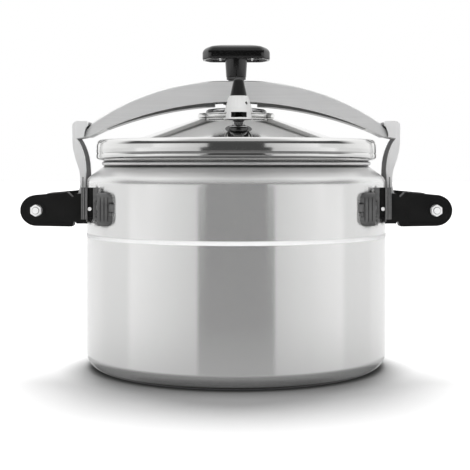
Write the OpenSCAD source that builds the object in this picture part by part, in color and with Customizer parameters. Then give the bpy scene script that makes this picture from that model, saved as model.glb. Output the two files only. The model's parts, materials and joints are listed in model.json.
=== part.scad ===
// Pressure canner: aluminium vessel, lid pressed down by a screw in an arched yoke,
// yoke held at its ends by two swinging links. Millimetres, +Z up, front towards -Y.
// Origin: centre of the vessel's flat base, on the surface that it stands on.

/* [Vessel] */
// Outer diameter of the straight wall
body_d = 296; // [292:1:300]
// Height at which the wall turns into the shoulder
wall_top = 180; // [170:1:182]
// Thickness of the wall
wall_t = 3.2; // [2.8:0.1:3.6]
// Thickness of the base
base_t = 6; // [4:0.5:8]
// Outer radius of the corner between base and wall
corner_r = 15; // [12:0.5:18]

/* [Lid] */
// Outer diameter of the lid's rim
lid_d = 278; // [277:0.5:279]
// Height of the lid's rim above the base
lid_rim_top = 222.5; // [222:0.5:223]
// Distance of each valve from the centre of the lid
valve_r = 75; // [72:1:78]
// Turn of the lid in the vessel, which carries the valves round
lid_turn = 1.6; // [0:0.2:3]

/* [Yoke and screw] */
// Height of the yoke's crown above the base
yoke_top = 281; // [280:0.5:282]
// Width of the yoke, front to rear
yoke_w = 32; // [28:1:36]
// Half length of the yoke
yoke_half = 155.5; // [155:0.5:155.5]
// Radius of the screw
screw_r = 8; // [7:0.5:8]
// Travel of the screw when it is backed off
screw_travel = 11; // [6:1:12]

/* [Knob] */
// Length of the knob's hand bar
knob_l = 67; // [64:1:72]
// Width of the knob's hand bar
knob_w = 47; // [42:1:50]

/* [Links and handles] */
// Distance of the links' pivot from the centre
pivot_x = 152.2; // [152.1:0.1:152.4]
// Height of the links' pivot
pivot_z = 163; // [162.8:0.1:163.2]
// Half distance between the two legs of a link, inside
link_half = 16.6; // [16.6:0.1:16.8]
// Distance of the handle's rod from the centre
rod_x = 190; // [186:1:192]
// Height of the handle's rod
rod_z = 154.6; // [154:0.2:155]
// Half length of the handle's grip
grip_half = 40; // [38:1:42]
// Thickness of the handle's cheeks
cheek_t = 14; // [13:0.5:14]

/* [Hidden] */

left = -1;
right = 1;
front = -1;
rear = 1;
eps = 0.01;      // overreach of a cut past the face that it opens
fit = 0.05;      // radial clearance of a pin or shaft in its hole
gap = 0.3;       // distance kept between parts that move past each other

body_r = body_d / 2;
neck_r = 131;          // outer radius of the neck that the lid drops over
neck_top = 214;
bead_r = 133.5;        // stop bead under the lid's skirt
bead_z = [197.4, 201.2];
shoulder_r = 9;        // turn of the wall into the sloping shoulder
shoulder_a = 55;       // angle that the turn covers
line_z = 127.7;        // height of the embossed fill line
line_h = 3.4;
line_d = 0.3;

lid_r = lid_d / 2;
lid_t = 3.2;
lid_round = 4.5;
skirt_z = 202;
trough_z = 218;        // top face of the lid between rim and cone
cone_r = [38, 104];    // radii of the cone's upper and lower edge
cone_z = [244.5, 221.8];
hub_z = [244.5, 249];
thrust_z = [249, 254];
dimple = 0.8;          // depth of the thrust plate's locating recess
seat_z = 233.3;        // flat seats on the cone for the two valves

yoke_t = 3;
yoke_arc_r = 230;      // top arc of the yoke
yoke_flat = 10;        // half length of the flat crown
under_arc_r = 322;     // lower edge of the yoke's side walls
under_z = 260;
tip_z = 225.5;
stiff_gap = 21;        // half length of the opening between the two stiffeners
stiff_drop = 3;        // how far the stiffeners stand below the side walls
stiff_h = 8;
stiff_arc_r = 358.3;   // flatter than the walls' edge, so that the drop runs out towards the tips
bush_r = 14;

foot_z = thrust_z[1] - dimple + 0.2;
foot_r = 10.5;
foot_h = 5.8;
neck_pin_r = 4.5;      // neck of the screw inside the swivelling foot
knob_z = [283, 317.2]; // bottom of the knob's stem and top of its hand bar
bar_z = 302.4;
knob_wall = 3;

link_slope = 34;       // slope of the link's bearing face and of the yoke's tips
hood_in = 145.4;       // inner edge of the link's hood
hood_out = 161.1;
hood_z = [225, 241.1];
hood_face = 236.6;     // height of the bearing face at the hood's inner edge
link_t = 3.5;
eye_r = 4.4;
pin_r = 2.4;
lug_y = [12.6, 16.3];  // lugs on the handle's plate that carry a link's pin

bolt_y = 85;
bolt_z = 157;
bolt_r = 3;
pad_y = 80;
pad_r = 15.2;
pad_x = 127.6;         // flat outer face of the round pads
pad_corner = 6;
ear_y = [68, 71];
ear_x = 145.4;
ear_z = [146.8, 176.7];
tongue_t = 2.4;        // strap that runs from the ear along the wall, under the pad
tongue_z = [150, 163.4];
tongue_end = 97.5;     // a narrower tab ends the strap just past the pad
tongue_end_z = [155, 161.8];
ear_rivet = [137.4, 156.6];
ear_rivet_r = 1.8;

plate_t = 3.2;         // steel plate that carries the handle
plate_z = [143, 171];
tab_y = [45.5, 48.5];
tab_z = [147, 162.4];
rod_r = 3;
cheek_r = 15.7;        // reach of the cheek's nose past the rod
cheek_h = 14.8;        // half height of the nose

// points of an arc round [x, y], from angle a0 to a1
function arc(c, r, a0, a1, n = 10) = [for (i = [0:n]) c + r * [cos(a0 + (a1 - a0) * i / n), sin(a0 + (a1 - a0) * i / n)]];
function smooth(t) = let (u = max(0, min(1, t))) u * u * (3 - 2 * u);
function cone_at(r) = cone_z[0] + (cone_z[1] - cone_z[0]) * (r - cone_r[0]) / (cone_r[1] - cone_r[0]);

// a prism whose outline lies in the XZ plane, from y0 to y1
module slab(y0, y1) translate([0, y1, 0]) rotate([90, 0, 0]) linear_extrude(y1 - y0) children();
module round_bar_y(x, z, r, y0, y1) translate([x, y1, z]) rotate([90, 0, 0]) cylinder(h = y1 - y0, r = r, $fn = 64);
module hex(af, h) cylinder(h = h, d = af / cos(30), $fn = 6);
module to_side(side) mirror([side == left ? 1 : 0, 0, 0]) children();
module to_end(end) mirror([0, end == rear ? 1 : 0, 0]) children();
module each_corner() for (side = [left, right], end = [front, rear]) to_side(side) to_end(end) children();
module valve_place(end) rotate([0, 0, lid_turn]) translate([0, end * valve_r, 0]) children();

// ---------------------------------------------------------------- vessel

function shoulder(r, off) = arc([body_r - r, wall_top], shoulder_r - off, 0, shoulder_a);

module vessel_outline() {
  in_r = body_r - wall_t;
  turn = body_r - shoulder_r;
  polygon(concat(
    [[0, 0], [body_r - corner_r, 0]],
    arc([body_r - corner_r, corner_r], corner_r, -90, 0, 12),
    [[body_r, line_z], [body_r + line_d, line_z + 0.6], [body_r + line_d, line_z + line_h - 0.6],
     [body_r, line_z + line_h]],
    arc([turn, wall_top], shoulder_r, 0, shoulder_a),
    [[neck_r, 196.6], [neck_r, bead_z[0]]],
    arc([bead_r - 1.9, (bead_z[0] + bead_z[1]) / 2], 1.9, -90, 90, 8),
    [[neck_r, bead_z[1]], [neck_r, neck_top - 1]],
    arc([neck_r - 1, neck_top - 1], 1, 0, 90, 4),
    arc([neck_r - wall_t + 1, neck_top - 1], 1, 90, 180, 4),
    [[neck_r - wall_t, 194.4]],
    arc([turn, wall_top], shoulder_r - wall_t, shoulder_a, 0),
    arc([in_r - corner_r + 3, base_t + corner_r - 3], corner_r - 3, 0, -90, 12),
    [[0, base_t]]
  ));
}

module vessel() color("silver") difference() {
  rotate_extrude($fn = 180) vessel_outline();
  each_corner() translate([body_r - 60, -bolt_y, bolt_z]) rotate([0, 90, 0]) cylinder(h = 60, r = bolt_r + fit, $fn = 32);
  for (side = [left, right], y = rivet_ys()) to_side(side) rivet_axis(y) translate([0, 0, body_r - 10])
    cylinder(h = 20, r = 2.5 + fit, $fn = 32);
}

// ---------------------------------------------------------------- handle fixings

function rivet_ys() = [-31, 0, 31];
// turns +Z into the direction out of the wall at height bolt_z, at offset y
module rivet_axis(y) translate([0, 0, bolt_z]) rotate([0, 0, asin(y / body_r)]) rotate([0, 90, 0]) children();

module handle_plate(side) color("dimgray") to_side(side) difference() {
  union() {
    intersection() {
      difference() {
        cylinder(h = plate_z[1], r = body_r + 0.1 + plate_t, $fn = 180);
        translate([0, 0, -eps]) cylinder(h = plate_z[1] + 1, r = body_r + 0.1, $fn = 180);
      }
      translate([100, -55, plate_z[0]]) cube([60, 110, plate_z[1] - plate_z[0]]);
    }
    for (end = [front, rear]) to_end(end) slab(-tab_y[1], -tab_y[0]) difference() {
      translate([141, tab_z[0]]) square([rod_x + 7 - 141, tab_z[1] - tab_z[0]]);
      translate([rod_x, rod_z]) circle(r = rod_r + fit, $fn = 64);
    }
    for (end = [front, rear]) to_end(end) slab(-lug_y[1], -lug_y[0]) {
      translate([140, pivot_z - eye_r]) square([pivot_x - 140, 2 * eye_r]);
      translate([pivot_x, pivot_z]) circle(r = eye_r, $fn = 64);
    }
  }
  for (end = [front, rear]) to_end(end)
    translate([140, -link_half - link_t - 2.4, pivot_z - eye_r - 0.6]) cube([20, link_t + 2.7, 30]);
  round_bar_y(pivot_x, pivot_z, pin_r + fit, -30, 30);
  for (y = rivet_ys()) rivet_axis(y) translate([0, 0, body_r - 4]) cylinder(h = 12, r = 2.5 + fit, $fn = 32);
  translate([0, 0, -eps]) cylinder(h = plate_z[1] + 1, r = body_r + 0.1, $fn = 180);
}

module handle_rivets() color("silver") for (side = [left, right], y = rivet_ys()) to_side(side) rivet_axis(y) {
  translate([0, 0, body_r - wall_t - 1.8]) cylinder(h = 1.6, r = 5, $fn = 48);
  translate([0, 0, body_r - wall_t - 0.3]) cylinder(h = wall_t + plate_t + 0.6, r = 2.5, $fn = 48);
  translate([0, 0, body_r + plate_t + 0.15]) cylinder(h = 1.6, r1 = 3.5, r2 = 2.6, $fn = 48);
}

module cheek_outline() {
  polygon(concat(
    [for (a = [90:-7.5:-90]) [rod_x + cheek_r * cos(a), rod_z + cheek_h * sin(a)]],
    [[158.5, 139.2]],
    arc([157.2, 141.2], 2, -60, -150, 4),
    [[154.6, 143.9], [153, 143.9], [152.2, 142], [130, 142], [130, 170.6], [152.2, 170.6],
     [153.6, 169.8], [156, 167], [161, 172]]
  ));
}

// slotted over the steel tab, with a shallow panel sunk in the outer face
module handle_cheek(side, end) color("black") to_side(side) to_end(end) difference() {
  slab(-grip_half - cheek_t, -grip_half - 0.1) cheek_outline();
  slab(-tab_y[1] - 0.1, -tab_y[0] + 0.1) translate([120, tab_z[0] - 0.2])
    square([rod_x + 7.3 - 120, tab_z[1] - tab_z[0] + 0.4]);
  slab(-grip_half - cheek_t - 1, -grip_half - cheek_t + 0.7) difference() {
    union() {
      translate([rod_x, rod_z]) circle(r = cheek_h - 2.6, $fn = 96);
      translate([163, rod_z - cheek_h + 2.6]) square([rod_x - 163, 2 * cheek_h - 5.2]);
    }
    translate([rod_x, rod_z]) circle(r = 8.5, $fn = 64);
  }
  round_bar_y(rod_x, rod_z, rod_r + fit, -70, 0);
  translate([0, 0, 100]) cylinder(h = 100, r = body_r + plate_t + 0.3, $fn = 180);
}

module handle_grip(side) color("black") to_side(side) difference() {
  round_bar_y(rod_x, rod_z, 13.6, -grip_half, grip_half);
  round_bar_y(rod_x, rod_z, rod_r + fit, -50, 50);
}

module handle_rod(side) color("silver") to_side(side) round_bar_y(rod_x, rod_z, rod_r, -61, 61);

module handle_washers() color("silver") each_corner() difference() {
  round_bar_y(rod_x, rod_z, 5.6, -grip_half - cheek_t - 1, -grip_half - cheek_t);
  round_bar_y(rod_x, rod_z, rod_r + fit, -70, 0);
}

module handle_nuts() color("silver") each_corner() difference() {
  translate([rod_x, -grip_half - cheek_t - 1, rod_z]) rotate([90, 0, 0]) rotate([0, 0, 30]) hex(10, 5);
  round_bar_y(rod_x, rod_z, rod_r + fit, -70, 0);
}

// ---------------------------------------------------------------- link fixings

module wall_ring(r, z0, z1) translate([0, 0, z0]) cylinder(h = z1 - z0, r = r, $fn = 180);

// block that clamps the bracket's tongue to the curved wall, with a few shallow grooves across its face
module pad_area() offset(r = pad_corner, $fn = 48) square(2 * (pad_r - pad_corner), center = true);

module wall_pads() color("dimgray") each_corner() difference() {
  translate([100, -pad_y, bolt_z]) rotate([90, 0, 90]) linear_extrude(pad_x - 100) pad_area();
  wall_ring(body_r + 0.1, 100, 200);
  wall_ring(body_r + tongue_t + 0.2, tongue_z[0] - 0.1, tongue_z[1] + 0.1);
  for (x = [117.2, 120.6, 124]) translate([x, -pad_y - pad_r - 1, 130]) cube([0.9, 1.6, 50]);
  translate([80, -bolt_y, bolt_z]) rotate([0, 90, 0]) cylinder(h = 80, r = bolt_r + fit, $fn = 32);
}

// pressed steel bracket round the handle's root: an ear with upright ribs, a return to the cheek,
// and the tongue bent from it along the wall
module handle_bracket(side, end) color("dimgray") to_side(side) to_end(end) difference() {
  union() {
    intersection() {
      wall_ring(body_r + 0.1 + tongue_t, tongue_z[0], tongue_z[1]);
      union() {
        translate([80, -94.6, tongue_z[0]]) cube([80, 94.6 - ear_y[0] - 0.5, tongue_z[1] - tongue_z[0]]);
        translate([80, -tongue_end, tongue_end_z[0]]) cube([80, 20, tongue_end_z[1] - tongue_end_z[0]]);
      }
    }
    translate([ear_x - 3, -ear_y[1], ear_z[0]]) cube([3, ear_y[1] - grip_half - cheek_t - 0.2, 169.5 - ear_z[0]]);
    translate([120, -ear_y[1], ear_z[0]]) cube([ear_x - 120, ear_y[1] - ear_y[0], ear_z[1] - ear_z[0]]);
    for (x = [[120, 134], [139.4, 141.6], [142.2, 143.6]])
      translate([x[0], -ear_y[1] - 1.2, ear_z[0]]) cube([x[1] - x[0], 1.4, ear_z[1] - ear_z[0]]);
    translate([136.2, -ear_y[1], ear_z[0] - 2]) cube([4.4, ear_y[1] - ear_y[0], 3]);
  }
  wall_ring(body_r + 0.1, 100, 200);
  translate([134, -ear_y[1] - 1, ear_z[0] + 2]) cube([5.4, 2.2, ear_z[1] - ear_z[0]]);
  round_bar_y(ear_rivet[0], ear_rivet[1], ear_rivet_r + fit, -100, -60);
  translate([80, -bolt_y, bolt_z]) rotate([0, 90, 0]) cylinder(h = 80, r = bolt_r + fit, $fn = 32);
}

module bracket_bolts() color("gray") each_corner() {
  translate([104.5, -bolt_y, bolt_z]) rotate([0, 90, 0]) cylinder(h = pad_x + 0.1 - 104.5, r = bolt_r, $fn = 48);
  translate([pad_x + 0.05, -bolt_y, bolt_z]) rotate([0, 90, 0]) cylinder(h = 1.8, r1 = 4, r2 = 3, $fn = 48);
}

// nuts inside the vessel, clear of the round wall
module bracket_nuts() color("silver") each_corner() difference() {
  translate([105.6, -bolt_y, bolt_z]) rotate([0, 90, 0]) hex(10, 5);
  translate([100, -bolt_y, bolt_z]) rotate([0, 90, 0]) cylinder(h = 30, r = bolt_r + fit, $fn = 48);
}

// rivets in the ears' grooves, headed behind
module bracket_rivets() color("white") each_corner() {
  round_bar_y(ear_rivet[0], ear_rivet[1], ear_rivet_r, -ear_y[1] - 0.4, -ear_y[0] + 0.4);
  round_bar_y(ear_rivet[0], ear_rivet[1], 2.9, -ear_y[0] + 0.05, -ear_y[0] + 1.5);
}

// one headed pin through both legs of each link and the lugs between them
module link_pins() color("silver") for (side = [left, right]) to_side(side) {
  round_bar_y(pivot_x, pivot_z, pin_r, -link_half - link_t - 0.4, link_half + link_t + 0.4);
  for (end = [front, rear]) to_end(end)
    round_bar_y(pivot_x, pivot_z, 3.6, -link_half - link_t - 1.9, -link_half - link_t - 0.3);
}

// ---------------------------------------------------------------- links

// one leg and its cheek of the hood, seen along the pivot
module link_profile() {
  polygon(concat(
    [[hood_in + 0.1, 238.2], [hood_in, 239.2]],
    arc([hood_in + 1.8, hood_z[1] - 1.8], 1.8, 180, 90, 4),
    arc([hood_out - 5, hood_z[1] - 5], 5, 90, 0, 8),
    [[hood_out, 228], [161, 220.5], [160.1, 212.6], [158.2, 204.8], [156, 198], [154, 192], [153.2, 186],
     [153.4, 178], [154.9, 170.5]],
    arc([pivot_x, pivot_z], eye_r, 20, -180, 20),
    [[147.5, 168], [147.4, 193], [147.9, 200], [148.9, 206], [150.4, 211.6], [152.3, 216.6], [154.2, 220.5],
     [156.6, 223.9], [153.5, 224.6], [149.6, 225.2], [149.4, 227.5], [148.9, 230.3], [147.5, 234.2]]
  ));
}

module hood_bar() {
  drop = tan(link_slope);
  polygon(concat(
    [[hood_in, hood_face], [hood_in, hood_z[1] - 1.8]],
    arc([hood_in + 1.8, hood_z[1] - 1.8], 1.8, 180, 90, 4),
    arc([hood_out - 5, hood_z[1] - 5], 5, 90, 0, 8),
    [[hood_out, hood_face - drop * 11 - 1], [hood_in + 11, hood_face - drop * 11 - 1],
     [hood_in + 11, hood_face - drop * 11]]
  ));
}

module link(side) color("silver") to_side(side) difference() {
  union() {
    slab(-link_half - link_t, link_half + link_t) hood_bar();
    for (end = [front, rear]) to_end(end) slab(-link_half - link_t, -link_half) link_profile();
  }
  round_bar_y(pivot_x, pivot_z, pin_r + fit, -100, 100);
  // a groove stiffens each leg above its eye
  for (end = [front, rear]) to_end(end)
    translate([150, -link_half - link_t - 1, 171]) cube([0.9, 1.7, 15]);
}

// ---------------------------------------------------------------- lid

module lid_outline() {
  in_r = lid_r - 3.4;
  under = lid_rim_top - lid_t;
  polygon(concat(
    [[0, cone_z[0]], [cone_r[0], cone_z[0]], [cone_r[1], cone_z[1]]],
    [[108, trough_z + 1.6], [112, trough_z + 0.3], [116, trough_z], [121, trough_z],
     [124, trough_z + 0.8], [127.5, lid_rim_top - 0.7], [129.5, lid_rim_top]],
    arc([lid_r - lid_round, lid_rim_top - lid_round], lid_round, 90, 0, 8),
    [[lid_r, 211.2], [lid_r - 0.6, 210.9], [lid_r - 0.6, 210.3], [lid_r + 0.2, 209.7], [lid_r + 0.2, 206.6],
     [lid_r - 0.7, 204.8], [lid_r - 2.6, 203], [lid_r - 4.6, skirt_z], [lid_r - 5.2, skirt_z + 0.4],
     [in_r, 205], [in_r, under], [127, under], [123.2, 216.4], [121, trough_z - 3],
     [114, trough_z - 3], [107, trough_z - 1.4], [103, cone_z[1] - 3.1],
     [cone_r[0] - 1.5, cone_z[0] - lid_t], [0, cone_z[0] - lid_t]]
  ));
}

module lid_shell() color("gainsboro") difference() {
  union() {
    rotate_extrude($fn = 180) lid_outline();
    for (end = [front, rear]) valve_place(end) translate([0, 0, 229]) cylinder(h = seat_z - 229, r = 9.2, $fn = 64);
  }
  translate([0, 0, 230]) cylinder(h = 30, r = 5 + fit, $fn = 64);
  for (end = [front, rear]) valve_place(end) {
    translate([0, 0, 200]) cylinder(h = 60, r = 4 + fit, $fn = 64);
    translate([0, 0, 220]) cylinder(h = 7.2, r = 9.5, $fn = 64);
    translate([0, 0, seat_z]) cylinder(h = 10, r = 9.2, $fn = 64);
  }
}

module lid_gasket() color("dimgray") rotate_extrude($fn = 180) polygon([
  [124.6, 217.2], [127.4, 219.2], [lid_r - 3.6, 219.2], [lid_r - 3.6, 214.4], [lid_r - 5, 212.8],
  [neck_r + 0.9, 212.8], [neck_r + 0.3, 214.3], [124.2, 214.3], [123.2, 215.2]
]);

module lid_hub_plate() color("lightgray") difference() {
  rotate_extrude($fn = 120) polygon([
    [0, hub_z[0]], [37.9, hub_z[0]], [38.4, hub_z[0] + 0.8], [38.4, hub_z[1] - 0.8], [37.6, hub_z[1]], [0, hub_z[1]]
  ]);
  translate([0, 0, 240]) cylinder(h = 20, r = 5 + fit, $fn = 64);
}

module thrust_plate() color("silver") difference() {
  rotate_extrude($fn = 120) polygon([
    [0, thrust_z[0]], [29.6, thrust_z[0]], [30.4, thrust_z[0] + 0.8], [30.4, thrust_z[0] + 2.6],
    [28, thrust_z[1] - 0.8], [22, thrust_z[1]], [foot_r + 1, thrust_z[1]],
    [foot_r + 0.6, thrust_z[1] - dimple], [0, thrust_z[1] - dimple]
  ]);
  translate([0, 0, thrust_z[0] - 1]) cylinder(h = 3.1, r = 5 + fit, $fn = 64);
}

module hub_rivet() color("silver") {
  translate([0, 0, cone_z[0] - lid_t]) cylinder(h = thrust_z[0] + 2 - cone_z[0] + lid_t, r = 5, $fn = 64);
  translate([0, 0, cone_z[0] - lid_t - 3]) cylinder(h = 3, r1 = 7, r2 = 9, $fn = 64);
}

module lid_gland_nut() {
  difference() {
    translate([0, 0, 222]) hex(14, 4.4);
    translate([0, 0, 215]) cylinder(h = 20, r = 4 + fit, $fn = 64);
  }
}

module lid_gland_washer() {
  difference() {
    translate([0, 0, 226.4]) cylinder(h = 0.8, r = 8.4, $fn = 64);
    translate([0, 0, 215]) cylinder(h = 20, r = 4 + fit, $fn = 64);
  }
}

// ---------------------------------------------------------------- weight valve

nozzle_top = 252;
module valve_nozzle() color("silver") valve_place(front) difference() {
  rotate_extrude($fn = 64) polygon([
    [0, 219], [3.6, 219], [4, 219.6], [4, seat_z], [8.6, seat_z], [8.6, seat_z + 0.7], [7, seat_z + 1.5],
    [5.9, seat_z + 1.9], [5.6, seat_z + 2.6], [5.6, 242], [3.6, 243.8], [3.9, 245], [3.9, 248],
    [2.6, nozzle_top], [0, nozzle_top]
  ]);
  translate([0, 0, 200]) cylinder(h = 60, r = 1.4, $fn = 32);
}
module valve_nozzle_nut() color("silver") valve_place(front) lid_gland_nut();
module valve_nozzle_washer() color("white") valve_place(front) lid_gland_washer();

// perforated thimble that keeps food out of the nozzle
module vent_guard() color("silver") valve_place(front) difference() {
  rotate_extrude($fn = 64) polygon([[0, 215.4], [4.4, 215.4], [5.4, 216.4], [5.4, 221.9], [4.06, 221.9], [4.06, 217], [0, 217]]);
  for (a = [0:60:300]) rotate([0, 0, a]) translate([4.8, 0, 218]) rotate([0, 90, 0]) cylinder(h = 4, r = 0.6, center = true, $fn = 16);
}

weight_z = [240.3, 262.2];
weight_rs = [14, 8.9];
module valve_weight() color("gainsboro") valve_place(front) difference() {
  rotate_extrude($fn = 96) polygon([
    [12.6, weight_z[0]], [13.6, weight_z[0]], [weight_rs[0], weight_z[0] + 0.6], [weight_rs[0] - 0.2, 245],
    [weight_rs[1] + 0.4, weight_z[1] - 0.8], [weight_rs[1] - 0.4, weight_z[1]], [0, weight_z[1]],
    [0, 256.5], [4.3, 256.5], [4.3, 250], [8.5, 248.5], [11, 245.5]
  ]);
  translate([0, 0, 256]) cylinder(h = 10, r = 2 + fit, $fn = 32);
  for (a = [0, 90, 270]) rotate([0, 0, a]) translate([-7.2, -16, 241.9]) cube([14.4, 8, 4.9]);
  rotate([0, 0, 42]) translate([0, -6, 255.2]) rotate([90, 0, 0]) cylinder(h = 12, r = 1.6, $fn = 32);
}

module valve_weight_cap() color("black") valve_place(front) rotate_extrude($fn = 96) polygon([
  [0, weight_z[1] + 0.05], [7.5, weight_z[1] + 0.05], [7.7, weight_z[1] + 0.6], [5.1, 275], [4.4, 277.4], [3, 278.3], [0, 278.5]
]);

module valve_needle() color("silver") valve_place(front) {
  translate([0, 0, nozzle_top + 0.2]) cylinder(h = 2.2, r1 = 1.4, r2 = 3.6, $fn = 48);
  translate([0, 0, nozzle_top + 2.4]) cylinder(h = 2, r = 3.9, $fn = 48);
  translate([0, 0, nozzle_top + 4.3]) cylinder(h = weight_z[1] - nozzle_top - 4.4, r = 2, $fn = 48);
}

// ---------------------------------------------------------------- safety valve

module safety_valve_body() color("goldenrod") valve_place(rear) difference() {
  union() {
    translate([0, 0, seat_z + 0.02]) hex(15, 3.98);
    translate([0, 0, 219]) cylinder(h = seat_z - 219 + eps, r = 4, $fn = 64);
    translate([0, 0, seat_z + 3.9]) cylinder(h = 4.1, r = 6, $fn = 64);
  }
  translate([0, 0, 210]) cylinder(h = 40, r = 1.6, $fn = 32);
  translate([0, 0, 234.5]) cylinder(h = 10, r = 4.2, $fn = 64);
}
module safety_valve_nut() color("silver") valve_place(rear) lid_gland_nut();
module safety_valve_washer() color("white") valve_place(rear) lid_gland_washer();

// crown pressed over the body, with the plunger's stem standing out of it
module safety_valve_cap() color("goldenrod") valve_place(rear) difference() {
  translate([0, 0, seat_z + 8.1]) cylinder(h = 3.4, r = 6, $fn = 64);
  translate([0, 0, seat_z + 8]) cylinder(h = 1.9, r = 4.2, $fn = 64);
  translate([0, 0, seat_z + 5]) cylinder(h = 10, r = 1.3 + fit, $fn = 32);
}

plunger_z = 234.7;
module safety_plunger() color("silver") valve_place(rear) {
  translate([0, 0, plunger_z]) cylinder(h = 2, r1 = 2.2, r2 = 3.6, $fn = 48);
  translate([0, 0, plunger_z + 1.9]) cylinder(h = 11, r = 1.3, $fn = 48);
}

spring_z = [236.9, 242.9];
spring_turns = 4;
module safety_spring() color("gray") valve_place(rear) {
  n = 12;
  wire = 0.35;
  mid = 2.8;
  steps = spring_turns * 20;
  pitch = (spring_z[1] - spring_z[0] - 2 * wire) / steps;
  polyhedron(
    points = [for (i = [0:steps], k = [0:n - 1]) let (a = 18 * i, b = 360 * k / n)
      [(mid + wire * cos(b)) * cos(a), (mid + wire * cos(b)) * sin(a), spring_z[0] + wire + pitch * i + wire * sin(b)]],
    faces = concat(
      [[for (k = [0:n - 1]) k]],
      [for (i = [0:steps - 1], k = [0:n - 1]) [n * i + k, n * i + n + k, n * i + n + (k + 1) % n, n * i + (k + 1) % n]],
      [[for (k = [n - 1:-1:0]) n * steps + k]]
    )
  );
}

// ---------------------------------------------------------------- yoke

module crown_area(drop) {
  for (s = [-1, 1]) translate([s * yoke_flat, yoke_top - yoke_arc_r]) circle(r = yoke_arc_r - drop, $fn = 360);
  translate([-yoke_flat, 0]) square([2 * yoke_flat, yoke_top - drop]);
}

module under_area(drop) translate([0, under_z - under_arc_r]) circle(r = under_arc_r - drop, $fn = 360);

// everything above the sloping seats that the links' hoods bear on
module above_tips() for (s = [-1, 1]) scale([s, 1]) polygon([
  [hood_in - 0.3, 260], [hood_in - 0.3, hood_face - gap], [hood_in, hood_face - gap],
  [hood_in + 20, hood_face - gap - 20 * tan(link_slope)], [hood_in + 20, 260]
]);

module yoke_side() difference() {
  intersection() {
    crown_area(0);
    translate([-yoke_half, tip_z]) square([2 * yoke_half, 100]);
  }
  under_area(0);
  above_tips();
}

module yoke_shell() color("gainsboro") difference() {
  slab(-yoke_w / 2, yoke_w / 2) yoke_side();
  slab(-yoke_w / 2 + yoke_t, yoke_w / 2 - yoke_t) intersection() {
    crown_area(yoke_t);
    translate([-128, 0]) square([256, 300]);
  }
  translate([0, 0, 270]) cylinder(h = 20, r = 11 + fit, $fn = 64);
}

module yoke_stiffener(side) color("gray") to_side(side)
  slab(-yoke_w / 2 + yoke_t + 0.05, yoke_w / 2 - yoke_t - 0.05) difference() {
    intersection() {
      under_area(-stiff_h + stiff_drop);
      crown_area(yoke_t + 0.1);
      translate([stiff_gap, 200]) square([127.9 - stiff_gap, 100]);
    }
    translate([0, under_z - stiff_drop - 0.3 - stiff_arc_r]) circle(r = stiff_arc_r, $fn = 360);
  }

module yoke_bush() color("gray") difference() {
  union() {
    translate([0, 0, under_z - 2]) cylinder(h = yoke_top - yoke_t - under_z + 1.9, r = bush_r - 1.1, $fn = 96);
    translate([0, 0, yoke_top - yoke_t - 1]) cylinder(h = yoke_t + 1.4, r = 11, $fn = 64);
  }
  translate([0, 0, 250]) cylinder(h = 40, r = screw_r + fit, $fn = 64);
  translate([0, 0, 250]) cylinder(h = foot_z + foot_h + screw_travel + 0.5 - 250, r = foot_r + 0.5, $fn = 64);
}

// ---------------------------------------------------------------- screw and knob

ring_z = foot_z + 3.6;
module pressure_foot() color("silver") difference() {
  translate([0, 0, foot_z]) cylinder(h = foot_h, r = foot_r, $fn = 96);
  translate([0, 0, foot_z + 2]) cylinder(h = 10, r = neck_pin_r + fit, $fn = 64);
  translate([0, 0, ring_z - 0.05]) cylinder(h = 1.1, r = 6, $fn = 64);
}

module foot_ring() color("gray") difference() {
  translate([0, 0, ring_z]) cylinder(h = 1, r = 5.95, $fn = 64);
  translate([0, 0, ring_z - 1]) cylinder(h = 3, r = neck_pin_r - 0.6, $fn = 64);
}

module spindle() color("silver") difference() {
  union() {
    translate([0, 0, foot_z + 2.1]) cylinder(h = 5, r = neck_pin_r, $fn = 64);
    translate([0, 0, foot_z + foot_h + 0.2]) cylinder(h = 296 - foot_z - foot_h - 0.2, r = screw_r, $fn = 96);
  }
  difference() {
    translate([0, 0, ring_z - 0.3]) cylinder(h = 1.6, r = 10, $fn = 64);
    translate([0, 0, ring_z - 1]) cylinder(h = 3, r = neck_pin_r - 0.65, $fn = 64);
  }
}

// eight-sided plan of the hand bar, set in by an even amount
module bar_plan(inset) {
  x = knob_l / 2 - inset;
  y = knob_w / 2 - inset;
  polygon([for (s = [[1, 1], [-1, 1], [-1, -1], [1, -1]]) each s[0] * s[1] > 0
    ? [[s[0] * x, s[1] * (y - 14)], [s[0] * (x - 7), s[1] * y]]
    : [[s[0] * (x - 7), s[1] * y], [s[0] * x, s[1] * (y - 14)]]]);
}

// outline of a bar of half width w, domed on top
module dome(w, edge) polygon(concat(
  [[-w, 200], [-w, knob_z[1] - edge]],
  [for (t = [-1:0.125:1]) [t * (w - 0.35 * edge), knob_z[1] - 0.55 * edge * pow(abs(t), 3)]],
  [[w, knob_z[1] - edge], [w, 200]]
));

// hollow hand bar with ribs, moulded on a tapered stem
module knob() color("black") difference() {
  union() {
    intersection() {
      difference() {
        translate([0, 0, bar_z]) linear_extrude(20) bar_plan(0);
        translate([0, 0, bar_z - 1]) linear_extrude(9.5) bar_plan(knob_wall);
      }
      slab(-40, 40) dome(knob_l / 2, 6.5);
      rotate([0, 0, 90]) slab(-40, 40) dome(knob_w / 2, 5.5);
    }
    translate([0, 0, bar_z + 0.6]) linear_extrude(9) intersection() {
      bar_plan(0.5);
      union() {
        square([knob_l, 2.4], center = true);
        for (x = [-16, 16]) translate([x, 0]) square([2.4, knob_w], center = true);
      }
    }
    translate([0, 0, knob_z[0] + 2.4]) cylinder(h = 26.5, r1 = 9.9, r2 = 11.6, $fn = 96);
  }
  translate([0, 0, knob_z[0]]) cylinder(h = 19, r = 9.3, $fn = 64);
}

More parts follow.
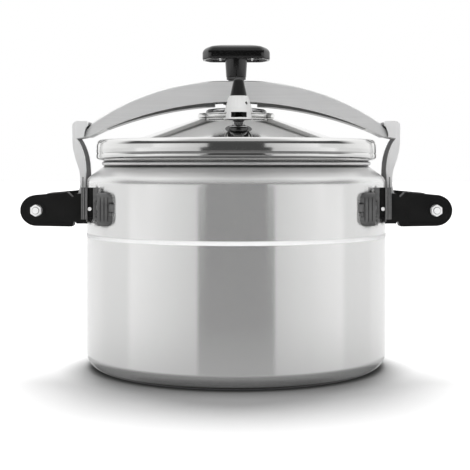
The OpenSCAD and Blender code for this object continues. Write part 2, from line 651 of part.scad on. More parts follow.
module knob_insert() color("goldenrod") difference() {
  translate([0, 0, knob_z[0] + 2.4]) cylinder(h = 16.5, r = 9.25, $fn = 64);
  translate([0, 0, knob_z[0] - 1]) cylinder(h = 14.1, r = screw_r + fit - 0.04, $fn = 64);
}

module knob_collar() color("dimgray") difference() {
  translate([0, 0, knob_z[0]]) cylinder(h = 2.3, r = 9.6, $fn = 96);
  translate([0, 0, knob_z[0] - 1]) cylinder(h = 5, r = screw_r + fit, $fn = 64);
}

vessel();
wall_pads();
handle_bracket(left, front);  // handle_bracket_left_front
handle_bracket(left, rear);  // handle_bracket_left_rear
handle_bracket(right, front);  // handle_bracket_right_front
handle_bracket(right, rear);  // handle_bracket_right_rear
bracket_bolts();
bracket_nuts();
bracket_rivets();
link_pins();
handle_plate(left);  // handle_plate_left
handle_plate(right);  // handle_plate_right
handle_rivets();
handle_cheek(left, front);  // handle_cheek_left_front
handle_cheek(left, rear);  // handle_cheek_left_rear
handle_cheek(right, front);  // handle_cheek_right_front
handle_cheek(right, rear);  // handle_cheek_right_rear
handle_grip(left);  // handle_grip_left
handle_grip(right);  // handle_grip_right
handle_rod(left);  // handle_rod_left
handle_rod(right);  // handle_rod_right
handle_nuts();
handle_washers();
lid_shell();
lid_gasket();
lid_hub_plate();
thrust_plate();
hub_rivet();
valve_nozzle();
valve_nozzle_washer();
valve_nozzle_nut();
vent_guard();
safety_valve_body();
safety_valve_washer();
safety_valve_nut();
safety_valve_cap();
safety_plunger();
safety_spring();
valve_weight();
valve_weight_cap();
valve_needle();
yoke_shell();
yoke_stiffener(left);  // yoke_stiffener_left
yoke_stiffener(right);  // yoke_stiffener_right
yoke_bush();
pressure_foot();
foot_ring();
spindle();
knob();
knob_insert();
knob_collar();
link(left);  // link_left
link(right);  // link_right
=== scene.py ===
import bmesh
import bpy
import json
import math
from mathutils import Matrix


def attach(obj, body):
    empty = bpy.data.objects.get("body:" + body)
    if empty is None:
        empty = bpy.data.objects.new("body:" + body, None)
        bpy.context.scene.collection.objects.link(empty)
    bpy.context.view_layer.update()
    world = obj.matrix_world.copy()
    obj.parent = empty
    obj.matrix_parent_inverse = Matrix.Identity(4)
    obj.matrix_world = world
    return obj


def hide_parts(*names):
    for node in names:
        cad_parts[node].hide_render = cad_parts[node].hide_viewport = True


# Looks of the pressure canner. Metres, in the CAD frame; outlines below are in millimetres.
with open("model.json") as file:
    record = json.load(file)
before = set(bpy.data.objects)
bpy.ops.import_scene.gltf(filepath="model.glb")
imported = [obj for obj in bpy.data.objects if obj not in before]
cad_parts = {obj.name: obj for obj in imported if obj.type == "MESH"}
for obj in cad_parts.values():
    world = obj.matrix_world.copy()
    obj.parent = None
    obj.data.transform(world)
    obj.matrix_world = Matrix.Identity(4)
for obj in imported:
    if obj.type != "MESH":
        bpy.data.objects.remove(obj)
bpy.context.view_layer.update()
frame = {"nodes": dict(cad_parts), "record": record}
NODES = frame["nodes"]
MM = 0.001


# ---------------------------------------------------------------- camera and stage

# Level camera at about the height of the vessel's neck; the lens shift brings the whole object into the frame.
CAMERA_PLACE = (-0.0012, -1.12, 0.1974)
LENS, SENSOR, SHIFT = 85.8, 36.0, -0.148


def camera():
    data = bpy.data.cameras.new("camera")
    data.lens = LENS
    data.sensor_width = SENSOR
    data.clip_end = 50.0
    data.shift_y = SHIFT
    cam = bpy.data.objects.new("camera", data)
    bpy.context.collection.objects.link(cam)
    cam.location = CAMERA_PLACE
    cam.rotation_euler = (math.radians(90), 0.0, 0.0)
    bpy.context.scene.camera = cam


# ---------------------------------------------------------------- node helpers

def new_tree(name, world=False):
    holder = bpy.data.worlds.new(name) if world else bpy.data.materials.new(name)
    holder.use_nodes = True
    holder.node_tree.nodes.clear()
    return holder, holder.node_tree


def add(tree, kind, inputs=None, **props):
    n = tree.nodes.new(kind)
    for key, value in props.items():
        setattr(n, key, value)
    for key, value in (inputs or {}).items():
        if isinstance(value, bpy.types.NodeSocket):
            tree.links.new(value, n.inputs[key])
        else:
            n.inputs[key].default_value = value
    return n


def math_node(tree, op, a, b=None, c=None):
    given = {i: v for i, v in enumerate((a, b, c)) if v is not None}
    return add(tree, "ShaderNodeMath", given, operation=op).outputs[0]


def between(tree, value, start, end, low=0.0, high=1.0, smooth=True):
    """Value carried from start..end over to low..high, and held beyond them."""
    return add(tree, "ShaderNodeMapRange", {0: value, 1: start, 2: end, 3: low, 4: high},
               interpolation_type="SMOOTHSTEP" if smooth else "LINEAR").outputs[0]


def blend(tree, share, a, b, kind="MIX"):
    return add(tree, "ShaderNodeMix", {0: share, 6: a, 7: b}, data_type="RGBA", blend_type=kind).outputs[2]


def grey(v):
    return (v, v, v, 1)


def ramp(tree, fac, stops):
    n = tree.nodes.new("ShaderNodeValToRGB")
    tree.links.new(fac, n.inputs[0])
    els = n.color_ramp.elements
    while len(els) < len(stops):
        els.new(0.5)
    for el, (pos, v) in zip(els, stops):
        el.position = pos
        el.color = (*v, 1) if isinstance(v, tuple) else grey(v)
    return n.outputs[0]


# Studio light by the angle from the camera's side, in degrees: a dark gap between two tall soft boxes.
PANELS = [(0, 0.060), (22, 0.060), (27.4, 0.065), (29, 0.56), (58, 0.74), (84, 0.92), (90, 0.72), (118, 0.74),
          (124, 0.80), (180, 0.95)]
FLOOR_GLOW, SHADOW_GLOW = 0.46, 0.11
CEILING_FRONT, CEILING_BACK = 0.46, 1.0
VALANCE = 0.07
UNDER = 0.02
AMBIENT = 0.4      # share of the studio's light that reaches matt faces; the two lamps give them the rest
FILL_POWER = 72.0
KEY_STRENGTH = 5.1
FLOOR_GREY, FLOOR_HALF = 0.93, 12.0


def studio():
    world, t = new_tree("studio", world=True)
    bpy.context.scene.world = world
    toward = add(t, "ShaderNodeTexCoord").outputs["Generated"]
    x, y, z = add(t, "ShaderNodeSeparateXYZ", {0: toward}).outputs[:3]
    angle = math_node(t, "ARCTAN2", x, math_node(t, "MULTIPLY", y, -1.0))
    above = between(t, z, -0.012, 0.012, 1.0, 1.26)
    wide = math_node(t, "MULTIPLY", math_node(t, "ABSOLUTE", angle), above)
    walls = ramp(t, math_node(t, "DIVIDE", wide, math.pi), [(a / 180, v) for a, v in PANELS])
    back = math_node(t, "MULTIPLY_ADD", math_node(t, "ABSOLUTE", x), 0.5, y)
    ceiling = between(t, back, -0.35, 0.35, CEILING_FRONT, CEILING_BACK)
    tone = blend(t, between(t, z, 0.42, 0.62), walls, ceiling)
    # a dark strip between the walls and the ceiling in front, where the soft boxes end
    strip = math_node(t, "MULTIPLY", between(t, z, 0.10, 0.18, smooth=False),
                      between(t, z, 0.54, 0.60, 1.0, 0.0, smooth=False))
    strip = math_node(t, "MULTIPLY", strip, between(t, y, 0.1, 0.4, 1.0, 0.0, smooth=False))
    tone = blend(t, strip, tone, grey(VALANCE))
    for start, end, level in ((-0.165, -0.215, FLOOR_GLOW), (-0.26, -0.38, SHADOW_GLOW), (-0.6, -0.9, UNDER)):
        tone = blend(t, between(t, z, start, end), tone, grey(level))
    path = add(t, "ShaderNodeLightPath").outputs
    share = math_node(t, "SUBTRACT", 1.0, math_node(t, "MULTIPLY", path["Is Diffuse Ray"], 1.0 - AMBIENT))
    light = add(t, "ShaderNodeBackground", {0: tone, 1: share})
    white = add(t, "ShaderNodeBackground", {0: grey(1), 1: 1.0})
    both = add(t, "ShaderNodeMixShader", {0: path["Is Camera Ray"], 1: light.outputs[0], 2: white.outputs[0]})
    add(t, "ShaderNodeOutputWorld", {0: both.outputs[0]})
    bpy.context.scene.view_settings.view_transform = "Standard"


def lamp(name, kind, place, tilt):
    """A soft lamp that mirror-like parts don't show; the studio's own walls are what they reflect."""
    data = bpy.data.lights.new(name, kind)
    obj = bpy.data.objects.new(name, data)
    bpy.context.collection.objects.link(obj)
    obj.location = place
    obj.rotation_euler = (math.radians(tilt), 0.0, 0.0)
    obj.visible_glossy = False
    return data


def lamps():
    fill = lamp("fill", "AREA", (0.0, -3.0, 0.32), 88)
    fill.shape = "RECTANGLE"
    fill.size, fill.size_y = 3.0, 0.8
    fill.energy = FILL_POWER
    key = lamp("key", "SUN", (0.0, 1.5, 2.0), -39)
    key.angle = math.radians(50)
    key.energy = KEY_STRENGTH


def floor():
    mesh = bpy.data.meshes.new("floor")
    s = FLOOR_HALF
    mesh.from_pydata([(-s, -s, 0), (s, -s, 0), (s, s, 0), (-s, s, 0)], [], [(0, 1, 2, 3)])
    obj = bpy.data.objects.new("floor", mesh)
    bpy.context.collection.objects.link(obj)
    mat, t = new_tree("floor_paper")
    # painted contact shadow: the floor's colour is darker close to the pot and its parts
    tone = shade_creases(t, grey(FLOOR_GREY), 0.05, 0.25, (0.3, 0.85))
    b = add(t, "ShaderNodeBsdfPrincipled", {"Base Color": tone, "Roughness": 0.9, "Specular IOR Level": 0.1})
    add(t, "ShaderNodeOutputMaterial", {0: b.outputs[0]})
    mesh.materials.append(mat)
    obj.visible_glossy = False


# ---------------------------------------------------------------- materials

def metal(name, color, rough, aniso=0.0, grain=0.0, spread=0.04, bump=0.0, scale=(1, 1, 1), freq=60.0,
          smudge=0.0, metallic=1.0, painted_dark_mask=None, crease=0.0, satin=None, painted_dark_tone=0.012):
    """Metal with fine lines: scale stretches the noise, spread varies the colour, grain and smudge the roughness.

    The dark mask and its tone give an inside painted shade (round the weight valve, painted shade and reflection of the
    weight), crease gives tight corners painted shade, and satin matts the metal above a height.
    """
    mat, t = new_tree(name)
    co = add(t, "ShaderNodeTexCoord").outputs["Object"]
    place = add(t, "ShaderNodeMapping", {0: co, 3: scale})
    noise = add(t, "ShaderNodeTexNoise", {0: place.outputs[0], "Scale": freq, "Detail": 4.0, "Roughness": 0.6})
    cloud = add(t, "ShaderNodeTexNoise", {0: co, "Scale": 9.0, "Detail": 3.0})
    lo = tuple(c * (1 - spread) for c in color)
    tone = ramp(t, noise.outputs[0], [(0.3, lo), (0.7, color)])
    # painted shade: where the dark mask is above nought the colour takes the darker tone
    if painted_dark_mask:
        tone = shade_inside(t, tone, co, painted_dark_mask, painted_dark_tone)
    # painted shade: corners and gaps narrower than the crease reach are darker
    if crease:
        tone = shade_creases(t, tone, crease)
    fine = math_node(t, "MULTIPLY_ADD", noise.outputs[0], grain, rough - grain / 2)
    coarse = math_node(t, "MULTIPLY_ADD", cloud.outputs[0], smudge, fine)
    b = add(t, "ShaderNodeBsdfPrincipled", {"Base Color": tone, "Metallic": metallic, "Roughness": coarse})
    if satin is not None:
        z = add(t, "ShaderNodeSeparateXYZ", {0: co}).outputs[2]
        rise = between(t, z, satin - 0.001, satin + 0.002, smooth=False)
        t.links.new(math_node(t, "SUBTRACT", metallic, math_node(t, "MULTIPLY", rise, 0.04)), b.inputs["Metallic"])
        t.links.new(math_node(t, "ADD", coarse, math_node(t, "MULTIPLY", rise, 0.15)), b.inputs["Roughness"])
    if aniso:
        b.inputs["Anisotropic"].default_value = aniso
        b.inputs["Anisotropic Rotation"].default_value = 0.25
        tan = add(t, "ShaderNodeTangent", direction_type="RADIAL", axis="Z")
        t.links.new(tan.outputs[0], b.inputs["Tangent"])
    if bump:
        bm = add(t, "ShaderNodeBump", {"Height": noise.outputs[0], "Strength": bump, "Distance": 0.0002})
        t.links.new(bm.outputs[0], b.inputs["Normal"])
    add(t, "ShaderNodeOutputMaterial", {0: b.outputs[0]})
    return mat


def shade_inside(tree, tone, co, painted_dark_mask, painted_dark_tone=0.012):
    """Painted shade, and round the weight valve painted reflection: a darker tone wherever the mask, a function of the
    three coordinates, is above nought.
    """
    xyz = add(tree, "ShaderNodeSeparateXYZ", {0: co}).outputs
    mask = math_node(tree, "GREATER_THAN", painted_dark_mask(tree, *xyz[:3]), 0.0)
    return blend(tree, mask, tone, grey(painted_dark_tone))


def shade_creases(tree, tone, reach, least=0.05, span=(0.45, 0.9)):
    """Darker in the corners and gaps narrower than reach, where little light gets in."""
    open_sky = add(tree, "ShaderNodeAmbientOcclusion", {"Distance": reach}, samples=8).outputs["AO"]
    share = ramp(tree, open_sky, [(span[0], least), (span[1], 1.0)])
    return blend(tree, 1.0, tone, share, "MULTIPLY")


def plastic(name, color, rough, bump=0.12, freq=900.0, spec=0.5, spread=0.5, distance=0.0001, painted_dark_mask=None,
            crease=0.0):
    """Moulded or painted surface: cloud varies colour and gloss, a fine bump its skin."""
    mat, t = new_tree(name)
    co = add(t, "ShaderNodeTexCoord").outputs["Object"]
    noise = add(t, "ShaderNodeTexNoise", {0: co, "Scale": freq, "Detail": 3.0})
    cloud = add(t, "ShaderNodeTexNoise", {0: co, "Scale": 35.0, "Detail": 4.0})
    hi = tuple(min(1, c * (1 + spread)) for c in color)
    tone = ramp(t, cloud.outputs[0], [(0.35, color), (0.75, hi)])
    # painted shade: where the dark mask is above nought the colour takes the darker tone
    if painted_dark_mask:
        tone = shade_inside(t, tone, co, painted_dark_mask)
    # painted shade: corners and gaps narrower than the crease reach are darker
    if crease:
        tone = shade_creases(t, tone, crease)
    r = math_node(t, "MULTIPLY_ADD", cloud.outputs[0], 0.12, rough - 0.06)
    bm = add(t, "ShaderNodeBump", {"Height": noise.outputs[0], "Strength": bump, "Distance": distance})
    b = add(t, "ShaderNodeBsdfPrincipled",
            {"Base Color": tone, "Roughness": r, "Specular IOR Level": spec, "Normal": bm.outputs[0]})
    add(t, "ShaderNodeOutputMaterial", {0: b.outputs[0]})
    return mat


# The two valves stand opposite each other on the lid, which is turned a little.
VALVE_R, TURN = 75.0, math.radians(1.6)
VALVE = (VALVE_R * math.sin(TURN), -VALVE_R * math.cos(TURN))
SAFETY = (-VALVE[0], -VALVE[1])


def from_valve(t, x, y):
    """Distance from the weight valve's upright axis."""
    dx, dy = math_node(t, "SUBTRACT", x, VALVE[0] * MM), math_node(t, "SUBTRACT", y, VALVE[1] * MM)
    return math_node(t, "SQRT", math_node(t, "ADD", math_node(t, "MULTIPLY", dx, dx), math_node(t, "MULTIPLY", dy, dy)))


def in_weight(t, x, y, z):
    """How far a point lies inside the weight's tapering outer face, less its skin."""
    taper = math_node(t, "MULTIPLY", math_node(t, "SUBTRACT", z, 0.245), -4.5 / 16.4)
    reach = math_node(t, "MULTIPLY", math_node(t, "GREATER_THAN", z, 0.2402), 0.0127)
    edge = math_node(t, "ADD", math_node(t, "MINIMUM", taper, 0.0), reach)
    return math_node(t, "SUBTRACT", edge, from_valve(t, x, y))


def in_seat(t, x, y, z):
    """The ring round the valve's seat on the lid, painted dark as the weight's shade and reflection."""
    return math_node(t, "SUBTRACT", 0.0125, from_valve(t, x, y))


def in_ear(t, x, y, z):
    """The groove pressed into the brackets' ears, painted near-black as shade."""
    off = math_node(t, "SUBTRACT", math_node(t, "ABSOLUTE", x), 0.1367)
    return math_node(t, "SUBTRACT", 0.0026, math_node(t, "ABSOLUTE", off))


def in_link(t, x, y, z):
    """The inner faces of a link, between its two legs, painted darker as shade."""
    legs = math_node(t, "MULTIPLY", math_node(t, "LESS_THAN", z, 0.2245), 0.0167)
    return math_node(t, "SUBTRACT", legs, math_node(t, "ABSOLUTE", y))


SPUN = (1, 1, 30)
# crease values paint shade into the tight corners of these materials
MATS = {
    "polished_aluminium": metal("polished_aluminium", (0.89, 0.89, 0.885), 0.15, aniso=0.85, grain=0.01, spread=0.015,
                                scale=(1, 1, 0.03), freq=40, smudge=0.02, metallic=0.84, crease=0.004, satin=0.1812),
    # lid: the ring round the weight valve's seat is painted dark, painted shade and reflection of the weight
    "lid_aluminium": metal("lid_aluminium", (0.91, 0.91, 0.90), 0.09, aniso=0.3, grain=0.03, spread=0.02, scale=SPUN,
                           freq=20, smudge=0.03, painted_dark_mask=in_seat, painted_dark_tone=0.10),
    "yoke_aluminium": metal("yoke_aluminium", (0.93, 0.93, 0.93), 0.42, metallic=0.62, grain=0.06, spread=0.05,
                            bump=0.05, scale=(0.5, 20, 20), freq=30, smudge=0.04, crease=0.007),
    # yoke_inner: a darker copy of the yoke's metal for the parts inside its channel, painted shade
    "yoke_inner": metal("yoke_inner", (0.42, 0.42, 0.42), 0.4, grain=0.08, spread=0.1, bump=0.1, freq=200),
    # link_steel: the inner faces between the legs are painted darker as shade
    "link_steel": metal("link_steel", (0.96, 0.96, 0.96), 0.35, metallic=0.52, painted_dark_mask=in_link, painted_dark_tone=0.22,
                        grain=0.06, spread=0.05, bump=0.06, scale=(20, 20, 0.6), freq=40, smudge=0.05, crease=0.008),
    # dark_steel: the ears' groove is painted near-black as shade
    "dark_steel": metal("dark_steel", (0.17, 0.17, 0.17), 0.38, grain=0.1, spread=0.25, bump=0.15, freq=350, smudge=0.08,
                        metallic=0.35, painted_dark_mask=in_ear, crease=0.004),
    "dark_bolts": metal("dark_bolts", (0.3, 0.3, 0.3), 0.35, grain=0.1, spread=0.2, bump=0.1, freq=400),
    "bright_fixings": metal("bright_fixings", (0.97, 0.97, 0.97), 0.26, grain=0.05, spread=0.06, bump=0.05, freq=300,
                            metallic=0.35, crease=0.003),
    # bright_steel: the nozzle inside the weight is painted dark as shade
    "bright_steel": metal("bright_steel", (0.82, 0.82, 0.82), 0.15, grain=0.03, spread=0.05, freq=120, smudge=0.04,
                          crease=0.006, painted_dark_mask=in_weight),
    "rivets": metal("rivets", (0.6, 0.6, 0.6), 0.3, grain=0.05, spread=0.1, bump=0.05, freq=300),
    "satin_band": metal("satin_band", (0.84, 0.84, 0.84), 0.5, metallic=0.2, grain=0.05, spread=0.02, freq=80),
    "brass": metal("brass", (0.78, 0.58, 0.26), 0.28, grain=0.08, spread=0.1, bump=0.05, freq=250, smudge=0.06),
    "dark_cast": plastic("dark_cast", (0.06, 0.06, 0.06), 0.5, bump=0.8, freq=260, spread=1.1, distance=0.0006,
                         crease=0.003),
    "black_handle": plastic("black_handle", (0.006, 0.006, 0.006), 0.42, spec=0.28),
    "black_knob": plastic("black_knob", (0.002, 0.002, 0.002), 0.17, bump=0.04, spec=0.8),
    "black_cap": plastic("black_cap", (0.007, 0.007, 0.007), 0.35),
    "dark_collar": plastic("dark_collar", (0.05, 0.05, 0.05), 0.35),
    # weight_satin: the weight's inner faces are painted dark as shade
    "weight_satin": plastic("weight_satin", (0.66, 0.66, 0.655), 0.3, spread=0.04, bump=0.1, freq=500,
                            painted_dark_mask=in_weight),
    "white_washer": plastic("white_washer", (0.75, 0.74, 0.7), 0.5, spread=0.05),
    "seal_rubber": plastic("seal_rubber", (0.05, 0.05, 0.05), 0.7, spread=0.3, bump=0.2, freq=300),
}
SLOT_OF = {part["node"]: part["material_slot"] for part in frame["record"]["subparts"]}
BODY_OF = {key: body for body, keys in frame["record"]["behaviour"]["bodies"].items() for key in keys}


def dress(obj, slot):
    obj.data.materials.clear()
    obj.data.materials.append(MATS[slot])


# ---------------------------------------------------------------- shapes

def finish_mesh(name, verts, faces, nodes, body, slot, angle=35.0, bevel=0.0, segments=2, turn=38.0):
    mesh = bpy.data.meshes.new(name)
    mesh.from_pydata([tuple(c * MM for c in v) for v in verts], [], faces)
    mesh.validate()
    return finish_object(name, mesh, nodes, body, slot, angle, bevel, segments, turn)


def finish_object(name, mesh, nodes, body, slot, angle, bevel, segments, turn):
    obj = bpy.data.objects.new(name, mesh)
    bpy.context.collection.objects.link(obj)
    mesh.shade_smooth()
    mesh.set_sharp_from_angle(angle=math.radians(angle))
    if bevel:
        m = obj.modifiers.new("edge", "BEVEL")
        m.width = bevel * MM
        m.segments = segments
        m.limit_method = "ANGLE"
        m.angle_limit = math.radians(turn)
        m.harden_normals = True
        m.use_clamp_overlap = True
    dress(obj, slot)
    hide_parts(*nodes)
    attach(obj, body)
    return obj


def arc(cx, cz, r, a0, a1, n=10):
    """Points along an arc round (cx, cz), from angle a0 to a1 in degrees."""
    angles = [math.radians(a0 + (a1 - a0) * i / n) for i in range(n + 1)]
    return [(cx + r * math.cos(a), cz + r * math.sin(a)) for a in angles]


def lathe(name, outline, nodes, body, slot, steps=192, at=(0, 0), **kw):
    """Closed outline of (radius, height), turned about the upright axis at the given place."""
    n = len(outline)
    verts, ids = [], []
    for r, z in outline:
        if r < 1e-6:
            ids.append([len(verts)] * steps)
            verts.append((at[0], at[1], z))
        else:
            ids.append(list(range(len(verts), len(verts) + steps)))
            angles = [2 * math.pi * k / steps for k in range(steps)]
            verts += [(at[0] + r * math.cos(a), at[1] + r * math.sin(a), z) for a in angles]
    faces = []
    for i in range(n):
        j = (i + 1) % n
        if outline[i][0] < 1e-6 and outline[j][0] < 1e-6:
            continue
        for k in range(steps):
            m = (k + 1) % steps
            face = [ids[i][k], ids[i][m], ids[j][m], ids[j][k]]
            faces.append([v for q, v in enumerate(face) if v not in face[:q]])
    return finish_mesh(name, verts, faces, nodes, body, slot, **kw)


def refined(key, bevel, segments=2, angle=35.0, turn=38.0):
    """A copy of a CAD node with its flat faces joined again and its edges rounded."""
    bm = bmesh.new()
    bm.from_mesh(NODES[key].data)
    bmesh.ops.remove_doubles(bm, verts=bm.verts, dist=1e-6)
    bmesh.ops.dissolve_limit(bm, angle_limit=math.radians(0.5), verts=bm.verts, edges=bm.edges)
    mesh = bpy.data.meshes.new(key + "_skin")
    bm.to_mesh(mesh)
    bm.free()
    return finish_object(key + "_skin", mesh, [key], BODY_OF[key], SLOT_OF[key], angle, bevel, segments, turn)


# ---------------------------------------------------------------- vessel and lid

WALL_R, NECK_R, SHOULDER = 148.0, 131.0, 9.0
LINE = (127.7, 131.1)


def vessel():
    turn = WALL_R - SHOULDER
    outside = ([(0, 0), (118, 0), (133, 0)] + arc(133, 15, 15, -90, 0, 16)[1:] + [(WALL_R, 60), (WALL_R, 100)]
               + [(WALL_R, LINE[0] - 0.1), (WALL_R, LINE[0])]
               + arc(WALL_R - 0.9, LINE[0] + 0.6, 1.08, -30, 30, 2)[1:]
               + arc(WALL_R - 0.9, LINE[1] - 0.6, 1.08, -30, 30, 2)
               + [(WALL_R, LINE[1]), (WALL_R, 150), (WALL_R, 178)]
               + arc(turn, 180, SHOULDER, 0, 55, 10) + [(NECK_R + 2, 195.4)]
               + arc(NECK_R + 1.2, 197.4, 1.2, 235, 180, 3)
               + arc(131.7, 199.3, 1.9, -90, 90, 10) + arc(NECK_R + 0.4, 201.6, 0.4, 270, 180, 3)
               + [(NECK_R, 207)] + arc(NECK_R - 1.2, 212.8, 1.2, 0, 90, 5) + arc(NECK_R - 2.0, 212.8, 1.2, 90, 180, 5))
    inside = ([(NECK_R - 3.2, 194.6)] + arc(turn, 180, SHOULDER - 3.2, 55, 0, 8)
              + [(WALL_R - 3.2, 100), (WALL_R - 3.2, 20)] + arc(132.8, 18, 12, 0, -90, 12) + [(0, 6)])
    lathe("vessel_skin", outside + inside, ["vessel"], "vessel_body", "polished_aluminium", steps=256, angle=30)


LID_R = 139.0


def lid():
    top = 222.5
    outside = ([(0, 244.5), (37, 244.5)] + arc(37, 243.3, 1.2, 90, 71, 3) + [(60, 236.93), (80, 230.05), (100, 223.17)]
               + [(104, 221.8), (107, 220.4), (110, 219.0), (113.5, 218.15), (117, 218.0), (121, 218.05), (123.5, 218.7),
                  (125.6, 220.3), (127.2, 221.6), (129.5, top - 0.1), (132, top)]
               + [(LID_R - 4.5 + 4.5 * math.sin(a), top - 6 + 6 * math.cos(a))
                  for a in (k * math.pi / 28 for k in range(15))]
               + [(LID_R, 214), (LID_R, 210.2), (LID_R - 0.08, 209.7), (LID_R - 0.3, 209.3), (LID_R - 0.3, 208.9),
                  (LID_R - 0.08, 208.5), (LID_R, 208.0), (LID_R, 205.8), (LID_R - 0.3, 204.6), (LID_R - 1.1, 203.5),
                  (LID_R - 2.6, 202.6), (LID_R - 4.2, 202.1)]
               + arc(LID_R - 4.7, 202.5, 0.5, -90, -180, 4))
    inside = [(135.6, 205), (135.6, 219.3), (127, 219.3), (123.2, 216.4), (121, 215), (114, 215), (107, 216.6),
              (103, 218.7), (36.5, 241.3), (0, 241.3)]
    lathe("lid_skin", outside + inside, ["lid_shell"], "lid", "lid_aluminium", steps=256, angle=40)


def fill_line():
    """The lighter band burnished into the wall at the fill mark."""
    r, z0, z1 = WALL_R + 0.28, LINE[0] - 0.25, LINE[1] + 0.25
    lathe("fill_band", [(WALL_R - 1, z0), (r - 0.25, z0), (r, z0 + 0.5), (r, z1 - 0.5), (r - 0.25, z1), (WALL_R - 1, z1)],
          ["vessel"], "vessel_body", "satin_band", steps=256)


# ---------------------------------------------------------------- yoke

ARC_R, FLAT, CROWN = 230.0, 10.0, 281.0
UNDER_R, UNDER_Z, TIP_Z = 322.0, 260.0, 225.5
YOKE_HALF, YOKE_W, SHEET, CHANNEL = 155.5, 32.0, 3.0, 128.0
STEP, SEAT, SLOPE = 145.1, 236.3, math.tan(math.radians(34))


def yoke_top(x):
    x = max(0.0, abs(x) - FLAT)
    return CROWN - ARC_R + math.sqrt(ARC_R ** 2 - x ** 2)


def yoke_under(x):
    return max(TIP_Z, UNDER_Z - UNDER_R + math.sqrt(UNDER_R ** 2 - x ** 2))


def yoke():
    """Channel pressed from sheet with rounded shoulders, closed to a solid tip at each end."""
    lip = 0.7
    half = YOKE_W / 2
    stations = [CHANNEL * k / 32 for k in range(33)] + [131, 134, 137, 140, 142.5, STEP - 0.3, STEP + 0.1, 147, 150, 153,
                                                        YOKE_HALF - 0.8, YOKE_HALF]
    stations = [-x for x in stations[:0:-1]] + stations
    verts, rings = [], []
    for x in stations:
        ax = abs(x)
        top = yoke_top(x) if ax < STEP else SEAT - (ax - STEP - 0.3) * SLOPE
        if ax == YOKE_HALF:
            top -= 0.8
        low = yoke_under(x) + (0.8 if ax == YOKE_HALF else 0)
        round_r = min(2.6, (top - low - lip) * 0.8)
        side = [(-half + lip, low)] + arc(-half + lip, low + lip, lip, -90, -180, 3)[1:]
        side += arc(-half + round_r, top - round_r, round_r, 180, 90, 6)
        outer = side + [(-y, z) for y, z in reversed(side)]
        roof = yoke_top(x) - SHEET
        inner = [(-half + SHEET - lip, low), (-half + SHEET, low + lip)]
        inner += arc(-half + SHEET + 1.2, roof - 1.2, 1.2, 180, 90, 3)
        inner += [(-y, z) for y, z in reversed(inner)]
        ring = {"x": ax}
        for label, loop in (("outer", outer), ("inner", inner if ax <= CHANNEL else [])):
            ring[label] = list(range(len(verts), len(verts) + len(loop)))
            verts += [(x, y, z) for y, z in loop]
        rings.append(ring)
    faces = []

    def strip(a, b):
        for k in range(len(a) - 1):
            faces.append([a[k], a[k + 1], b[k + 1], b[k]])

    for p, q in zip(rings, rings[1:]):
        strip(p["outer"], q["outer"])
        if p["inner"] and q["inner"]:
            strip(q["inner"], p["inner"])
            faces.append([p["outer"][0], q["outer"][0], q["inner"][0], p["inner"][0]])
            faces.append([p["inner"][-1], q["inner"][-1], q["outer"][-1], p["outer"][-1]])
        else:
            foot = [p["outer"][0], q["outer"][0]]
            foot += [q["inner"][0], q["inner"][-1]] if q["inner"] else []
            foot += [q["outer"][-1], p["outer"][-1]]
            foot += [p["inner"][-1], p["inner"][0]] if p["inner"] else []
            faces.append(foot)
            for ring in (p, q):
                if ring["inner"]:
                    faces.append(ring["inner"] if ring is p else ring["inner"][::-1])
    faces.append(rings[0]["outer"][::-1])
    faces.append(rings[-1]["outer"])
    obj = finish_mesh("yoke_skin", verts, faces, ["yoke_shell"], "yoke", "yoke_aluminium", angle=40)
    bm = bmesh.new()
    bm.from_mesh(obj.data)
    bmesh.ops.recalc_face_normals(bm, faces=bm.faces)
    bm.to_mesh(obj.data)
    bm.free()


# ---------------------------------------------------------------- knob

BAR_L, BAR_W, BAR_Z, BAR_TOP, BAR_WALL = 67.0, 47.0, 302.4, 317.2, 3.0


def bar_ring(inset):
    """Eight-sided plan with rounded corners, set in evenly, as points with an equal share on each side."""
    x, y = BAR_L / 2 - inset, BAR_W / 2 - inset
    corners = [(x, -(y - 14)), (x, y - 14), (x - 7, y), (-(x - 7), y)]
    corners += [(-cx, -cy) for cx, cy in corners]
    soft = min(3.0, 0.25 * y)
    points = []
    for i, (cx, cy) in enumerate(corners):
        ax, ay = corners[i - 1]
        bx, by = corners[(i + 1) % 8]
        la, lb = math.hypot(ax - cx, ay - cy), math.hypot(bx - cx, by - cy)
        p = (cx + (ax - cx) / la * soft, cy + (ay - cy) / la * soft)
        q = (cx + (bx - cx) / lb * soft, cy + (by - cy) / lb * soft)
        for k in range(5):
            t = k / 4
            points.append(tuple((1 - t) ** 2 * a + 2 * t * (1 - t) * c + t * t * b
                                for a, c, b in zip(p, (cx, cy), q)))
    return points


def bar_height(x, y):
    t, u = abs(x) / (BAR_L / 2 - 2.3), abs(y) / (BAR_W / 2 - 1.9)
    return BAR_TOP - math.hypot(3.6 * t ** 3, 3.0 * u ** 3)


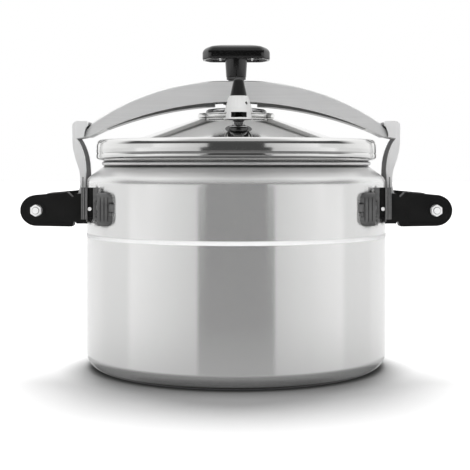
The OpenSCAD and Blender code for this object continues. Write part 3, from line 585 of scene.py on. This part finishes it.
def knob():
    edge = 4.2
    rings = [(0.9, BAR_Z), (0.25, BAR_Z + 0.25), (0.0, BAR_Z + 0.9)]
    over = []
    for k in range(8):
        a = math.radians(90 * k / 7)
        over.append((edge * (1 - math.cos(a)), edge * (1 - math.sin(a))))
    verts, loops = [], []

    def put(points):
        loops.append(list(range(len(verts), len(verts) + len(points))))
        verts.extend(points)

    for inset, z in rings:
        put([(x, y, z) for x, y in bar_ring(inset)])
    for inset, drop in over:
        put([(x, y, bar_height(x, y) - drop) for x, y in bar_ring(inset)])
    for share in (0.82, 0.64, 0.46, 0.28, 0.12):
        put([(x * share, y * share, bar_height(x * share, y * share)) for x, y in bar_ring(edge)])
    faces = []
    for a, b in zip(loops, loops[1:]):
        for k in range(len(a)):
            m = (k + 1) % len(a)
            faces.append([a[k], a[m], b[m], b[k]])
    faces.append(loops[-1])
    outer_low = loops[0]
    loops.clear()
    ceiling = BAR_Z + 8.5
    for inset, z in ((BAR_WALL - 0.9, BAR_Z), (BAR_WALL - 0.25, BAR_Z + 0.25), (BAR_WALL, BAR_Z + 0.9),
                     (BAR_WALL + 0.2, ceiling)):
        put([(x, y, z) for x, y in bar_ring(inset)])
    for a, b in zip([outer_low] + loops, loops):
        for k in range(len(a)):
            m = (k + 1) % len(a)
            faces.append([a[m], a[k], b[k], b[m]])
    faces.append(loops[-1][::-1])
    finish_mesh("knob_bar", verts, faces, ["knob"], "screw", "black_knob", angle=50)
    ribs_v, ribs_f = [], []
    for cx, cy, hx, hy in ((0, 0, BAR_L / 2 - 1.6, 1.2), (-16, 0, 1.2, BAR_W / 2 - 1.6), (16, 0, 1.2, BAR_W / 2 - 1.6)):
        n = len(ribs_v)
        ribs_v += [(cx + sx * hx, cy + sy * hy, z) for z in (BAR_Z + 0.8, ceiling + 1.5)
                   for sx, sy in ((-1, -1), (1, -1), (1, 1), (-1, 1))]
        ribs_f.append([n + 3, n + 2, n + 1, n])
        ribs_f += [[n + k, n + (k + 1) % 4, n + 4 + (k + 1) % 4, n + 4 + k] for k in range(4)]
        ribs_f += [[n + 4, n + 5, n + 6, n + 7]]
    finish_mesh("knob_ribs", ribs_v, ribs_f, ["knob"], "screw", "black_knob", bevel=0.3)
    z0 = 285.4
    lathe("knob_stem", [(9.3, z0), (9.3, 301.9), (0, 301.9), (0, 311.5), (11.6, 311.5), (11.5, 309)]
          + [(11.45, 308), (10.0, z0 + 0.6), (9.8, z0)], ["knob"], "screw", "black_knob", steps=96, angle=30)


EDGES = {"link_left": 0.9, "link_right": 0.9, "handle_grip_left": 0.8, "handle_grip_right": 0.8, "wall_pads": 0.5,
         "handle_plate_left": 0.4, "handle_plate_right": 0.4, "handle_nuts": 0.8, "handle_washers": 0.2,
         "bracket_bolts": 0.4, "knob_collar": 0.35, "valve_weight": 0.35, "valve_weight_cap": 0.3, "valve_nozzle": 0.2,
         "yoke_bush": 0.5, "yoke_stiffener_left": 0.4, "yoke_stiffener_right": 0.4, "pressure_foot": 0.5,
         "safety_valve_body": 0.3, "safety_valve_cap": 0.4, "lid_hub_plate": 0.4, "thrust_plate": 0.5}
for _side in ("left", "right"):
    for _end in ("front", "rear"):
        EDGES["handle_bracket_" + _side + "_" + _end] = 0.35
        EDGES["handle_cheek_" + _side + "_" + _end] = 0.9

studio()
lamps()
floor()
camera()
for key, obj in NODES.items():
    dress(obj, SLOT_OF[key])
vessel()
fill_line()
lid()
for label, at in (("valve_seat", VALVE), ("safety_seat", SAFETY)):
    lathe(label, [(0, 229), (9.0, 229), (9.2, 229.6)] + arc(8.4, 232.5, 0.8, 0, 90, 4) + [(0, 233.3)], ["lid_shell"],
          "lid", "lid_aluminium", steps=64, at=at)
yoke()
knob()
for key, width in EDGES.items():
    refined(key, width, segments=3 if width > 0.6 else 2)
